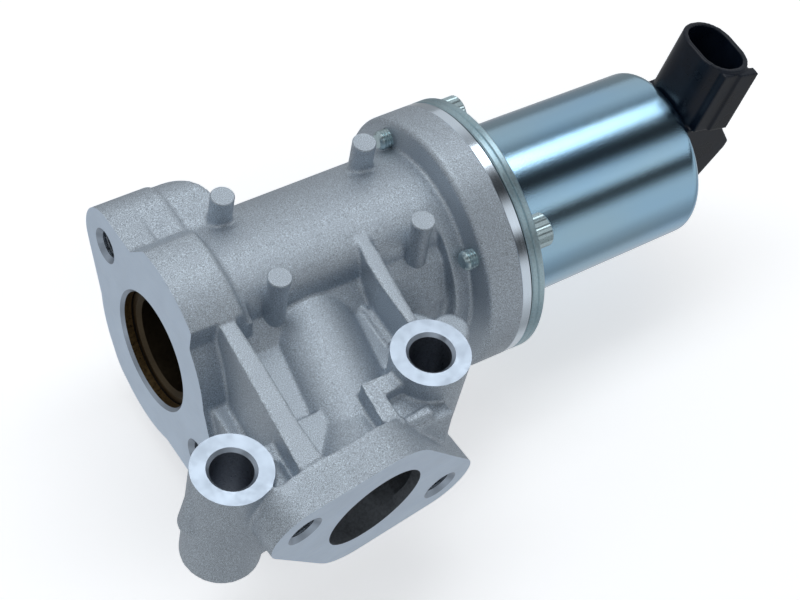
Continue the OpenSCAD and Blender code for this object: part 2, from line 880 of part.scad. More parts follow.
module connector_housing() {
    socket_base = 22;
    guide_x = 0.8 - socket_half_x + 2;
    guide_w = 2 * socket_half_x - 3.4;
    step_w = socket_half_x - 1;
    color("black")
        difference() {
            union() {
                difference() {
                    on_socket() {
                        translate([0, 0, -socket_base])
                            linear_extrude(height = socket_base)
                                socket_outline(0);
                        // Guide plate across the end of the socket
                        translate([guide_x, -socket_half_y - 0.8, -guide_h - 0.5])
                            cube([guide_w, 2, guide_h]);
                        translate([guide_x + guide_w - step_w, -socket_half_y - 1.3, -guide_h - 0.5])
                            cube([step_w, 1, guide_h]);
                    }
                    // Flush with the can's end
                    rod(can_x, can_len, can_r);
                }
                // Body behind the can
                translate([0, socket_half_y, 0])
                    rotate([90, 0, 0])
                        linear_extrude(height = 2 * socket_half_y)
                            polygon([[can_end_x, body_top], [can_end_x + 4.2, body_top],
                                [can_end_x + 12.6, body_top - 3.8], [can_end_x + 16.9, body_top - 11.4],
                                [can_end_x + 16.2, body_top - 13.4], [can_end_x + 1, -body_low],
                                [can_end_x, -body_low]]);
                rod(end_wall_x - 0.25, can_wall + 0.25 + eps, neck_r - press_gap);
            }
            on_socket()
                translate([0, 0, -socket_depth])
                    linear_extrude(height = socket_depth + 1)
                        socket_outline(socket_wall);
            connector_blades(press_gap);
        }
}

// The two blades, grown by a gap where they pass through the socket's floor
module connector_blades(gap) {
    on_socket()
        for (y = [-blade_pitch / 2, blade_pitch / 2])
            translate([-blade_t / 2 - gap, y - blade_w / 2 - gap, -socket_depth - blade_in - gap])
                cube([blade_t + 2 * gap, blade_w + 2 * gap, blade_in + blade_out + gap]);
}

module connector_terminals() {
    color("gold")
        connector_blades(0);
}

valve_housing();
valve_seat();
poppet_valve();
valve_stem();
stem_guide();
deposit_shield();
stem_seal();
seal_retainer();
retainer_clip();
spring_retainer();
return_spring();
bearing_ring();
flange_gasket();
spring_plate();
solenoid_flange();
flange_screws();
solenoid_can();
can_seal();
armature();
armature_sleeve();
pole_core();
flux_washer();
coil_bobbin();
coil_winding();
connector_housing();
connector_terminals();
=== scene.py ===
"""Looks of the exhaust gas recirculation valve: finished surfaces, cast edges, threads, stage and camera."""

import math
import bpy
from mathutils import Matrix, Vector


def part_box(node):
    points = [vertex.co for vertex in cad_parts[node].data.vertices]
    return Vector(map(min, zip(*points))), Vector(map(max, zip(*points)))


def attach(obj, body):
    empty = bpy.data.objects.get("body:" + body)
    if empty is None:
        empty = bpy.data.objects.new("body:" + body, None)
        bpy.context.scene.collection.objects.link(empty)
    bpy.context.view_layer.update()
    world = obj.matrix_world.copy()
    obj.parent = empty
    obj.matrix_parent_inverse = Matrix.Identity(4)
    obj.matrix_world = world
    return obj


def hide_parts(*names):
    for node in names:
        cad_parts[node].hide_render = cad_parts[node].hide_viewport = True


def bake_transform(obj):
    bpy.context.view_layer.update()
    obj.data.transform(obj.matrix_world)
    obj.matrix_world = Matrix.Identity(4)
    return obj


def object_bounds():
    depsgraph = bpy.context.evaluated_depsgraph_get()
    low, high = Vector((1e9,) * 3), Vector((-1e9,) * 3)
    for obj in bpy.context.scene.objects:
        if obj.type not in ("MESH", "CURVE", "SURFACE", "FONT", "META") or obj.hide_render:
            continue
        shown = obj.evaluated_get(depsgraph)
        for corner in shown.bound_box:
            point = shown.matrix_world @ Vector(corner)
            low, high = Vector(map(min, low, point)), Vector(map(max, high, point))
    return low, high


bl_info = {
    "name": "EGR Valve",
    "version": (1, 0, 0),
    "blender": (4, 5, 0),
    "location": "3D View > Sidebar > EGR Valve",
    "description": "Finishes a solenoid exhaust gas recirculation valve on its packed frame",
    "category": "Add Mesh",
}

import bmesh
import bpy
from bpy.props import FloatProperty, FloatVectorProperty, IntProperty, PointerProperty
from bpy.types import Operator, Panel, PropertyGroup
from mathutils import Matrix, Vector

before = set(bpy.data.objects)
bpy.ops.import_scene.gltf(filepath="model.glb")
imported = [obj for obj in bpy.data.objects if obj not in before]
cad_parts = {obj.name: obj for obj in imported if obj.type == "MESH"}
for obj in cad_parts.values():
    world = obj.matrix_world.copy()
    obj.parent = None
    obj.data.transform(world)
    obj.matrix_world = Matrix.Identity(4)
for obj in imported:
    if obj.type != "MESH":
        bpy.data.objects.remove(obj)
CAD_BOX = [list(corner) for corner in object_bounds()]

MM = 0.001
X_AXIS = Vector((1, 0, 0))
Z_AXIS = Vector((0, 0, 1))
CREASE = math.radians(32)
WELD = 0.001 * MM
IN_PLANE = 0.02 * MM


def mm(*millimetres):
    """A vector in metres from its millimetres."""
    return Vector(millimetres) * MM


def on_circle(degrees, radius, centre=(0, 0)):
    """A point of a circle in its own plane, such as (y, z) round the valve axis."""
    angle = math.radians(degrees)
    return centre[0] + radius * math.cos(angle), centre[1] + radius * math.sin(angle)


# Stations along the valve axis, from the inlet face
RIM_X = 74.4 * MM
RING_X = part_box("bearing_ring")[0].x
GASKET_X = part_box("flange_gasket")[0].x
PLATE_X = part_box("spring_plate")[0].x
COIL_FLANGE_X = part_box("solenoid_flange")[0].x
CAN_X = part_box("solenoid_can")[0].x
RIM_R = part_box("spring_plate")[1].y

# Flanges: the centre of each face, the way out, and its two tapped holes
INLET = Vector((0, 0, 0))
INLET_OUT = Vector((-1, 0, 0))
INLET_HOLE = mm(0, *on_circle(26.7, 27.2))
OUTLET = mm(23.4, -62.9, 2.9)
OUTLET_TURN = Matrix.Rotation(math.radians(7.4), 4, "Z") @ Matrix.Rotation(math.radians(96.8), 4, "X")
OUTLET_OUT = (OUTLET_TURN @ Z_AXIS).normalized()
OUTLET_HOLE = OUTLET_TURN @ mm(*on_circle(-28.4, 26.2), 0)
OUTLET_THICK = 9.5 * MM
TAP_R = 3.4 * MM
TAP_DEPTH = 13 * MM
TAP_RIDGE = 0.55 * MM
TAP_MOUTH = 4.6 * MM

# Bosses and ejector stubs stand upright
BOSS_TOP = 25
BOSSES = (mm(-9.5, -51.2, BOSS_TOP), mm(46.8, -43.8, BOSS_TOP))
BOSS_LENGTH = 32.5 * MM
BOSS_R = 9.45 * MM
BOSS_BORE_R = 5 * MM
BOSS_CHAMFER = 0.8 * MM
STUBS = [mm(x, y, 30.4) for x in (24, 63) for y in (-13.3, 13.3)]
STUB_SHAPE = ((-18, 0), (-18, 2.9), (-11, 2.75), (-5, 2.5), (-0.3, 2.95), (0, 2.75), (0, 0))

# Gas way: a bore of (x, radius) points in millimetres, and a passage across to the outlet
AXIS_BORE = ((-3, 0), (-3, 18.5), (0.8, 14.7), (2.6, 14.7), (2.8, 14.9), (11, 14.9), (11, 17.5), (46, 17.5),
             (46, 7.01), (60, 7.01), (60, 18), (88, 18), (88, 0))
PASSAGE_IN = mm(33.8, -10, 3.4)
PASSAGE_OUT = mm(26.3, -57, 3.4)
PASSAGE_R = 10.8 * MM
PASSAGE_WALL = 3.2 * MM
OUTLET_R = 13 * MM
OUTLET_DEPTH = 8.8 * MM

# Barrel: its front turns under. Each length has its start, its end, the angle where its round part begins,
# and the (y, z) points of the ramp below, in millimetres and degrees.
BARREL_R = 25.1 * MM
UNDER_R = 6.6 * MM
UNDER_CENTRE = (-6.32 * MM, 17.39 * MM)
BARREL_LENGTHS = ((11, 48, 149, [(-19.4, 12.8), (-21.4, 12.8)]),
                  (47, 70.5, 210, [(-16.4, 15.4), (-20.8, 6), (-21.5, -12.5)]))
LUG_R = 8.2 * MM
LUG_LENGTH = 17 * MM

# Upright forms between the barrel and the outlet flange, in millimetres: outline of (x, y), lower z, upper z
TRAY_Z = 12.8
WEB_FORMS = {
    "rib beside the inlet flange": (
        ((7.9, -13), (7.8, -24), (6.9, -36), (4, -57.5), (10.3, -57.5), (10, -48), (11.1, -28), (11.3, -14)),
        -6, BOSS_TOP),
    "rib to the far boss": (
        ((49.6, -5.5), (47.6, -14), (47, -22), (47, -37), (49.4, -37), (50.3, -27), (51.3, -19), (52.2, -12),
         (52, -5.5)), 4, BOSS_TOP - 0.8),
    "tray floor": (((9, -14), (9, -42), (31, -42), (31, -36), (47.5, -36), (47.5, -14)), TRAY_Z - 5, TRAY_Z),
    "shelf behind the flange": (((8, -40.4), (6, -59), (34, -60), (31, -40.4)), TRAY_Z - 8, 14.8),
    "thin edge of the tray": (((45.2, -19), (45.2, -31), (46.4, -31), (46.4, -19)), TRAY_Z - 1, TRAY_Z + 0.9),
    "angled pad": (((29, -42.5), (28, -54), (32.6, -55), (32.8, -47.6), (38, -47), (38, -42.5)), 2, 22.1),
    "saddle to the far boss": (((31, -46), (45, -45), (46, -57), (30, -57.5)), -2, 18.5),
    "foot of the far boss": (((49, -37), (52, -24), (57, -24), (61, -28), (61, -33), (54, -40)), -2, 11),
    "block beside the near boss": (((2, -22), (2, -50), (7, -50), (7, -22)), -4, 6),
}
LOBE = mm(61.8, -32.6, -2)
LOBE_HEIGHT = 14 * MM
LOBE_R = 5.4 * MM
LOBE_TOP_R = 4.6 * MM

# The housing's finishes, numbered as in housing_materials
CAST, MILLED, BRIGHT, BORED, THREAD, PASSAGE, BROWNED, DEEP_PORT_SHADE = range(8)

# Flange screws
SCREW_CIRCLE = 28 * MM
SCREW_TURN = 48.3
SCREW_R = 2.5 * MM
HEAD_R = 4.25 * MM
HEAD_HEIGHT = 5 * MM
HEAD_CHAMFER = 0.5 * MM
KNURL_DEPTH = 0.16 * MM
SCREW_TIP = -19.2 * MM
SOCKET_R = 2.3 * MM
SOCKET_FLOOR = 2.4 * MM

# Stage
MIDDLE = Vector((0.07, 0, 0))
SOFTBOX_OFFSET = Vector((0.1, 0.34, 0.98))
FLOOR_GAP = 0.2 * MM
FLOOR_REACH = 8.0

# Brightness of the room by the angle in degrees round the valve axis, from +Y over the top
ROOM_LIGHT = ((0, 0.58), (32, 0.62), (42, 0.48), (52, 0.30), (58, 0.30), (63, 0.66), (82, 0.66), (88, 0.20),
              (93, 0.05), (108, 0.03), (115, 0.22), (122, 0.66), (140, 0.84), (147, 0.24), (152, 0.05),
              (162, 0.09), (172, 0.54), (178, 0.66), (205, 0.66), (220, 0.46), (240, 0.32), (256, 0.56),
              (305, 0.56), (330, 0.30))


# Sizes and colours


class CastingSizes(PropertyGroup):
    voxel: FloatProperty(
        name="Voxel", description="Voxel of the rounded casting", default=0.45 * MM, min=0.3 * MM,
        unit="LENGTH")
    rounding: IntProperty(
        name="Rounding", description="Smoothing steps that make the cast edges round", default=6, min=0)
    keep: FloatProperty(
        name="Kept faces", description="Share of the rounded casting's faces that is kept", default=0.36,
        min=0.05, max=1)
    stock: FloatProperty(
        name="Stock", description="Metal left on faces before they are machined", default=1.5 * MM,
        unit="LENGTH")
    thread_pitch: FloatProperty(
        name="Thread pitch", description="Pitch of the tapped flange holes", default=1.25 * MM, unit="LENGTH")
    colour: FloatVectorProperty(
        name="Casting", description="Blasted aluminium", default=(0.57, 0.64, 0.73), subtype="COLOR")
    machined: FloatVectorProperty(
        name="Machined", description="Milled flange faces", default=(0.69, 0.82, 0.98), subtype="COLOR")
    bright: FloatVectorProperty(
        name="Bright faces", description="Turned boss faces and chamfers", default=(0.44, 0.51, 0.60),
        subtype="COLOR")


class StackSizes(PropertyGroup):
    edge: FloatProperty(
        name="Edge", description="Broken edge of the round plates", default=0.2 * MM, unit="LENGTH")
    knurls: IntProperty(name="Knurls", description="Ridges round each screw head", default=36)
    thread_pitch: FloatProperty(
        name="Thread pitch", description="Pitch of the flange screws", default=0.8 * MM, unit="LENGTH")
    ring: FloatVectorProperty(
        name="Bright ring", description="Turned steel", default=(0.78, 0.88, 0.98), subtype="COLOR")
    plate: FloatVectorProperty(
        name="Plates", description="Zinc plate", default=(0.40, 0.55, 0.62), subtype="COLOR")
    screw: FloatVectorProperty(
        name="Screws", description="Zinc-plated screws", default=(0.48, 0.60, 0.64), subtype="COLOR")


class SolenoidSizes(PropertyGroup):
    can: FloatVectorProperty(
        name="Can", description="Blue zinc plating", default=(0.36, 0.60, 0.82), subtype="COLOR")
    plastic: FloatVectorProperty(
        name="Plug", description="Black moulding", default=(0.004, 0.008, 0.017), subtype="COLOR")
    voxel: FloatProperty(
        name="Voxel", description="Voxel of the plug's rounded moulding", default=0.28 * MM, unit="LENGTH")
    rounding: IntProperty(
        name="Rounding", description="Smoothing steps that soften the plug's edges", default=4, min=0)
    keep: FloatProperty(
        name="Kept faces", description="Share of the plug's faces that is kept", default=0.45, min=0.05,
        max=1)
    wire: FloatProperty(
        name="Spring wire", description="Radius of the return spring's wire", default=0.9 * MM, unit="LENGTH")
    coil: FloatProperty(
        name="Spring coil", description="Mean radius of the return spring", default=11.5 * MM, unit="LENGTH")


class StageSizes(PropertyGroup):
    eye: FloatVectorProperty(
        name="Eye", description="Place of the camera", default=(-0.19180, -0.29504, 0.47649),
        subtype="TRANSLATION")
    heading: FloatProperty(
        name="Heading", description="Side that the camera stands on", default=math.radians(-41.95),
        subtype="ANGLE")
    elevation: FloatProperty(
        name="Elevation", description="Height of the camera above the horizon", default=math.radians(51.49),
        subtype="ANGLE")
    roll: FloatProperty(
        name="Roll", description="Roll of the camera about its line of sight", default=math.radians(12.74),
        subtype="ANGLE")
    lens: FloatProperty(
        name="Lens", description="Focal length in millimetres on a 36 mm sensor", default=112.5,
        unit="CAMERA")
    floor: FloatVectorProperty(
        name="Floor", description="Plain pale floor", default=(0.90, 0.91, 0.93), subtype="COLOR")
    sky: FloatVectorProperty(
        name="Room", description="Light of the room", default=(0.96, 0.98, 1.0), subtype="COLOR")
    softbox: FloatProperty(
        name="Softbox", description="Power of the soft light", default=2.9, unit="POWER")


# Shader trees


class Wire:
    """A number that leaves a node. Arithmetic on it adds Math nodes to its tree."""

    def __init__(self, shades, socket):
        self.shades = shades
        self.socket = socket

    def _maths(self, operation, *values):
        return self.shades.node("ShaderNodeMath", {"operation": operation}, dict(enumerate(values)))

    def __add__(self, other):
        return self._maths("ADD", self, other)

    def __mul__(self, other):
        return self._maths("MULTIPLY", self, other)

    def __truediv__(self, other):
        return self._maths("DIVIDE", self, other)

    def __rtruediv__(self, other):
        return self._maths("DIVIDE", other, self)

    __radd__ = __add__
    __rmul__ = __mul__


class Shades:
    """The node tree of a material or of the room."""

    def __init__(self, owner, coordinates="Object"):
        owner.use_nodes = True
        self.tree = owner.node_tree
        self.tree.nodes.clear()
        self.place = self.node("ShaderNodeTexCoord", output=coordinates)

    def node(self, kind, settings=None, inputs=None, output=0):
        """Adds a node, and gives the output asked for, or several where their names are in a tuple."""
        made = self.tree.nodes.new(kind)
        for key, value in (settings or {}).items():
            if key == "stops":
                self._set_stops(made.color_ramp.elements, value)
            else:
                setattr(made, key, value)
        for key, value in (inputs or {}).items():
            if isinstance(value, Wire):
                self.tree.links.new(value.socket, made.inputs[key])
            elif made.inputs[key].type == "RGBA" and len(value) == 3:
                made.inputs[key].default_value = (*value, 1)
            else:
                made.inputs[key].default_value = value
        if isinstance(output, tuple):
            return [Wire(self, made.outputs[name]) for name in output]
        return None if output is None else Wire(self, made.outputs[output])

    @staticmethod
    def _set_stops(ramp, stops):
        """Gives a colour ramp its stops, which Blender keeps in order of position."""
        ramp.remove(ramp[1])
        ramp[0].position = stops[0][0]
        for position, _ in stops[1:]:
            ramp.new(position)
        for element, (_, colour) in zip(ramp, stops):
            element.color = (*colour, 1)

    def noise(self, size, detail=2.0, roughness=0.5, place=None):
        """Noise from 0 to 1 whose features measure about size metres."""
        return self.node("ShaderNodeTexNoise", {}, {
            "Vector": place or self.place, "Scale": 1 / size, "Detail": detail, "Roughness": roughness})

    def spread(self, value, low, high, to_low=0.0, to_high=1.0):
        """The value stretched from low..high to to_low..to_high, and held there."""
        return self.node("ShaderNodeMapRange", {"clamp": True}, {
            "Value": value, "From Min": low, "From Max": high, "To Min": to_low, "To Max": to_high})

    def blend(self, share, first, second):
        """The first colour where share is 0, and the second where it is 1."""
        return self.node("ShaderNodeMix", {"data_type": "RGBA"}, {0: share, 6: first, 7: second}, output=2)

    def stretch(self, x, y, z):
        """Object coordinates scaled along each axis."""
        return self.node("ShaderNodeMapping", {}, {"Vector": self.place, "Scale": (x, y, z)})

    def bump(self, height, distance, strength=1.0, under=None):
        """A normal from a height between 0 and 1, where 1 stands distance metres proud."""
        inputs = {"Height": height, "Distance": distance, "Strength": strength}
        if under:
            inputs["Normal"] = under
        return self.node("ShaderNodeBump", {}, inputs)

    def shine(self, shader, end="ShaderNodeOutputMaterial"):
        """Ends the tree with this shader."""
        self.node(end, {}, {"Surface": shader}, output=None)


class Finish(Shades):
    """One procedural material on object coordinates."""

    def __init__(self, name):
        self.material = bpy.data.materials.new(name)
        super().__init__(self.material)

    def surface(self, colour, roughness, metallic=1.0, normal=None, shine=0.5, glow=0.0):
        """Ends the tree with this surface, and gives its material."""
        inputs = {"Base Color": colour, "Roughness": roughness, "Metallic": metallic,
                  "Specular IOR Level": shine, "Emission Color": (1, 1, 1), "Emission Strength": glow}
        if normal:
            inputs["Normal"] = normal
        self.shine(self.node("ShaderNodeBsdfPrincipled", {}, inputs))
        return self.material


def scaled(colour, factor):
    """A colour made darker or lighter."""
    return [min(1, channel * factor) for channel in colour]


def cast_metal(colour):
    """Blasted aluminium with a fine bright grain, darker blotches and a few rub marks."""
    finish = Finish("cast_aluminium")
    grain = finish.noise(0.2 * MM, 2, 0.6)
    blotch = finish.noise(7 * MM, 3, 0.55)
    pits = finish.spread(finish.noise(0.9 * MM, 2, 0.5), 0.30, 0.42)
    rub = finish.spread(finish.noise(3.2 * MM, 6, 0.75), 0.66, 0.74) * finish.spread(grain, 0.45, 0.6)
    tone = finish.blend(finish.spread(grain, 0.36, 0.68), scaled(colour, 0.5), scaled(colour, 1.42))
    tone = finish.blend(finish.spread(blotch, 0.35, 0.75, 0, 0.35), tone, scaled(colour, 0.78))
    tone = finish.blend(rub * 0.6, tone, (0.85, 0.88, 0.92))
    rough = finish.spread(grain, 0.3, 0.7, 0.62, 0.42)
    relief = finish.bump(grain, 0.09 * MM, 0.8)
    return finish.surface(tone, rough, 0.85, finish.bump(pits, 0.05 * MM, 0.35, relief))


def milled_metal(name, colour, roughness, lines):
    """Machined aluminium with faint parallel tool lines."""
    finish = Finish(name)
    tool = finish.noise(1.0, 2, 0.6, finish.stretch(*lines))
    cloud = finish.noise(9 * MM, 2, 0.5)
    tone = finish.blend(finish.spread(cloud, 0.3, 0.75, 0, 0.5), colour, scaled(colour, 0.86))
    rough = finish.spread(tool, 0.35, 0.65, roughness - 0.05, roughness + 0.07)
    return finish.surface(tone, rough, 0.9, finish.bump(tool, 0.01 * MM, 0.4))


def bore_metal(name, colour, roughness=0.35):
    """The inside of drilled holes and passages, dull and slightly oily."""
    finish = Finish(name)
    rings = finish.noise(0.6 * MM, 3, 0.6)
    tone = finish.blend(finish.spread(rings, 0.3, 0.7), scaled(colour, 0.6), colour)
    rough = finish.spread(rings, 0.3, 0.7, roughness - 0.1, roughness + 0.15)
    return finish.surface(tone, rough, 0.9, finish.bump(rings, 0.03 * MM, 0.4))


def turned_ring(colour):
    """Mirror-bright turned steel with fine lines round the axis."""
    finish = Finish("turned_steel")
    lines = finish.noise(1.0, 1, 0.5, finish.stretch(9000, 60, 60))
    rough = finish.spread(lines, 0.3, 0.7, 0.10, 0.2)
    return finish.surface(colour, rough, 1.0, finish.bump(lines, 0.004 * MM, 0.5))


def zinc_plate(name, colour, roughness, speckle):
    """Blue zinc plating: a speckled satin with clouds of paler blue."""
    finish = Finish(name)
    grain = finish.noise(speckle, 3, 0.7)
    cloud = finish.noise(14 * MM, 2, 0.5)
    tone = finish.blend(finish.spread(grain, 0.3, 0.7), scaled(colour, 0.8), scaled(colour, 1.2))
    tone = finish.blend(finish.spread(cloud, 0.4, 0.7, 0, 0.4), tone, (0.55, 0.68, 0.70))
    rough = finish.spread(grain, 0.25, 0.75, roughness - 0.06, roughness + 0.08)
    return finish.surface(tone, rough, 1.0, finish.bump(grain, 0.02 * MM, 0.45))


def zinc_can(colour):
    """Glossy blue zinc over drawn steel, with an orange-peel speckle and small marks."""
    finish = Finish("zinc_can")
    peel = finish.noise(0.36 * MM, 3, 0.7)
    cloud = finish.noise(22 * MM, 2, 0.5, finish.stretch(0.5, 1, 1))
    marks = finish.spread(finish.noise(2.6 * MM, 4, 0.7, finish.stretch(2.4, 0.6, 0.6)), 0.70, 0.76)
    tone = finish.blend(finish.spread(cloud, 0.4, 0.75, 0, 0.6), colour, (0.46, 0.62, 0.66))
    tone = finish.blend(marks * 0.4, tone, scaled(colour, 0.5))
    rough = finish.spread(peel, 0.3, 0.7, 0.05, 0.13) + marks * 0.15
    return finish.surface(tone, rough, 1.0, finish.bump(peel, 0.04 * MM, 0.7))


def plain_metal(name, colour, roughness):
    """Turned or ground metal with light wear."""
    finish = Finish(name)
    wear = finish.noise(0.8 * MM, 3, 0.6)
    tone = finish.blend(finish.spread(wear, 0.3, 0.7), scaled(colour, 0.75), colour)
    rough = finish.spread(wear, 0.3, 0.7, roughness, roughness + 0.15)
    return finish.surface(tone, rough, 1.0, finish.bump(wear, 0.01 * MM, 0.3))


def moulded(name, colour, roughness):
    """Black moulding or rubber with a fine grain."""
    finish = Finish(name)
    grain = finish.noise(0.25 * MM, 2, 0.6)
    haze = finish.noise(6 * MM, 3, 0.6)
    tone = finish.blend(finish.spread(haze, 0.4, 0.8, 0, 0.5), colour, scaled(colour, 2.2))
    rough = finish.spread(haze, 0.3, 0.7, roughness - 0.05, roughness + 0.1)
    return finish.surface(tone, rough, 0.0, finish.bump(grain, 0.012 * MM, 0.3), shine=0.3)


# Mesh making


def applied(piece):
    """Makes a piece's modifiers part of its mesh."""
    graph = bpy.context.evaluated_depsgraph_get()
    mesh = bpy.data.meshes.new_from_object(piece.evaluated_get(graph))
    piece.modifiers.clear()
    piece.data = mesh
    mesh.name = piece.name
    return piece


def shade(mesh, crease=CREASE):
    """Smooth shading, but for edges that turn by more than the crease."""
    mesh.shade_smooth()
    mesh.set_sharp_from_angle(angle=crease)


def new_piece(name, bm, materials=(), crease=CREASE):
    """An object from a bmesh, smooth but for its sharp edges."""
    mesh = bpy.data.meshes.new(name)
    bm.to_mesh(mesh)
    bm.free()
    for material in materials:
        mesh.materials.append(material)
    shade(mesh, crease)
    piece = bpy.data.objects.new(name, mesh)
    bpy.context.scene.collection.objects.link(piece)
    return piece


def settle(piece, node, body="housing"):
    """The piece stands for a CAD node and rides on its body."""
    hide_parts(node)
    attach(piece, body)


def merged_copy(node):
    """A bmesh of a CAD node, with its triangles joined at their corners."""
    bm = bmesh.new()
    bm.from_mesh(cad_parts[node].data)
    bmesh.ops.remove_doubles(bm, verts=bm.verts, dist=0.002 * MM)
    return bm


def of_kind(kind, geometry):
    """The vertices, edges or faces among the results of a bmesh operator."""
    return [item for item in geometry if isinstance(item, kind)]


def extruded(bm, faces, shift):
    """Extrudes faces along a shift, and gives the vertices and faces at the far end."""
    made = bmesh.ops.extrude_face_region(bm, geom=faces)["geom"]
    verts = of_kind(bmesh.types.BMVert, made)
    bmesh.ops.translate(bm, vec=shift, verts=verts)
    return verts, of_kind(bmesh.types.BMFace, made)


def raise_face(bm, point, out, height):
    """Adds metal on the flat faces that look out from the plane through a point."""
    flat = [face for face in bm.faces if face.normal.dot(out) > 0.999
            and abs((face.calc_center_median() - point).dot(out)) < IN_PLANE]
    extruded(bm, flat, out * height)


def add_prism(bm, outline, shift):
    """A closed prism from an outline of points, pushed along a shift."""
    extruded(bm, [bm.faces.new([bm.verts.new(point) for point in outline])], shift)
    bmesh.ops.recalc_face_normals(bm, faces=bm.faces)


def add_rod(bm, start, end, radius, end_radius=None, segments=96):
    """A closed cylinder or cone between two points."""
    along = end - start
    turn = Z_AXIS.rotation_difference(along).to_matrix().to_4x4()
    bmesh.ops.create_cone(bm, cap_ends=True, segments=segments, radius1=radius, radius2=end_radius or radius,
                          depth=along.length, matrix=Matrix.Translation((start + end) / 2) @ turn)


def add_lathe(bm, profile, start, out, steps=96):
    """A closed shape turned round the axis through start along out, from (along, radius) points."""
    turn = Z_AXIS.rotation_difference(out).to_matrix().to_4x4()
    place = Matrix.Translation(start) @ turn
    points = [bm.verts.new(place @ Vector((radius, 0, along))) for along, radius in profile]
    edges = [bm.edges.new(pair) for pair in zip(points, points[1:] + points[:1])]
    bmesh.ops.spin(bm, geom=points + edges, cent=start, axis=out, angle=math.tau, steps=steps, use_merge=True)
    bmesh.ops.remove_doubles(bm, verts=bm.verts, dist=WELD)
    bmesh.ops.dissolve_degenerate(bm, edges=bm.edges, dist=WELD)
    bmesh.ops.recalc_face_normals(bm, faces=bm.faces)


def turned(name, profile, start=INLET, out=X_AXIS, steps=96, materials=()):
    """A turned piece."""
    bm = bmesh.new()
    add_lathe(bm, profile, start, out, steps)
    return new_piece(name, bm, materials)


def rod(name, start, end, radius, segments=96):
    """A cylinder, or a prism of few sides, between two points."""
    bm = bmesh.new()
    add_rod(bm, start, end, radius, segments=segments)
    return new_piece(name, bm)


def block(name, centre, size, turn=Matrix()):
    """A box round its centre, turned if asked."""
    bm = bmesh.new()
    place = Matrix.Translation(centre) @ turn @ Matrix.Diagonal((*size, 1))
    bmesh.ops.create_cube(bm, size=1.0, matrix=place)
    return new_piece(name, bm)


def cut(piece, tools, operation="DIFFERENCE"):
    """Takes each tool's shape out of the piece, or joins them to it."""
    for tool in tools:
        step = piece.modifiers.new(tool.name, "BOOLEAN")
        step.operation = operation
        step.solver = "MANIFOLD"
        step.object = tool
    applied(piece)
    for tool in tools:
        bpy.data.objects.remove(tool)


def rounded(bm, name, voxel, steps, keep):
    """The shapes of a bmesh joined into one skin whose edges and inner corners are round."""
    piece = new_piece(name, bm)
    skin = piece.modifiers.new("skin", "REMESH")
    skin.mode = "VOXEL"
    skin.voxel_size = voxel
    soft = piece.modifiers.new("soft", "SMOOTH")
    soft.factor = 0.5
    soft.iterations = steps
    thin = piece.modifiers.new("thin", "DECIMATE")
    thin.ratio = keep
    return applied(piece)


# Casting


def flange_holes():
    """Each tapped flange hole's centre on its face, and the way out."""
    for side in (1, -1):
        yield INLET + INLET_HOLE * side, INLET_OUT
        yield OUTLET + OUTLET_HOLE * side, OUTLET_OUT


def screw_places():
    """Each flange screw's place round the valve axis."""
    for quarter in range(4):
        yield Vector((0, *on_circle(SCREW_TURN + 90 * quarter, SCREW_CIRCLE)))


def tap_profile(pitch):
    """Half section of a tapped hole, with its countersink, rounded thread and drill point."""
    along = TAP_R - TAP_MOUTH
    points = [(MM, 0), (MM, TAP_MOUTH + MM), (along, TAP_R)]
    while along - pitch > -TAP_DEPTH:
        points += [(along - pitch * 0.15, TAP_R), (along - pitch * 0.5, TAP_R + TAP_RIDGE),
                   (along - pitch * 0.85, TAP_R)]
        along -= pitch
    return points + [(-TAP_DEPTH, TAP_R), (-TAP_DEPTH - TAP_R * 0.6, 0)]


def opened_housing():
    """The CAD housing without its web and ribs, which the photographed casting has thinner and deeper."""
    piece = new_piece("opened", merged_copy("valve_housing"))
    behind = OUTLET - OUTLET_OUT * (OUTLET_THICK + 5 * MM) + OUTLET_TURN @ mm(8, 0, 0)
    cut(piece, [block("beside_flange", mm(12.05, -35, 0), mm(10, 38.5, 100)),
                block("beside_barrel", mm(45.2, -28.5, 0), mm(56.4, 43, 100)),
                block("behind_outlet", behind, mm(36, 90, 10), OUTLET_TURN)])
    bm = bmesh.new()
    bm.from_mesh(piece.data)
    bpy.data.objects.remove(piece)
    return bm


def add_barrel(bm):
    """The barrel, whose front turns under above the outlet passage and meets a ramp."""
    add_rod(bm, INLET, mm(12, 0, 0), BARREL_R)
    add_rod(bm, mm(69.5, 0, 0), X_AXIS * (RIM_X + MM), BARREL_R)
    turned_under = [on_circle(angle, UNDER_R, UNDER_CENTRE) for angle in range(112, 186, 6)]
    for start, end, foot, ramp in BARREL_LENGTHS:
        section = [on_circle(angle, BARREL_R) for angle in range(foot, 471, 3)] + turned_under
        section += [(y * MM, z * MM) for y, z in ramp]
        add_prism(bm, [(start * MM, y, z) for y, z in section], mm(end - start, 0, 0))


def add_web(bm):
    """Ribs, tray floor, pads and passage between the barrel and the outlet flange."""
    for outline, low, high in WEB_FORMS.values():
        add_prism(bm, [mm(x, y, low) for x, y in outline], mm(0, 0, high - low))
    add_rod(bm, LOBE, LOBE + Z_AXIS * LOBE_HEIGHT, LOBE_R, LOBE_TOP_R)
    wall = PASSAGE_R + PASSAGE_WALL
    add_rod(bm, PASSAGE_IN, PASSAGE_OUT, wall)
    add_rod(bm, PASSAGE_IN.lerp(PASSAGE_OUT, 0.72), OUTLET - OUTLET_OUT * 3 * MM, wall - MM, wall + 3 * MM)


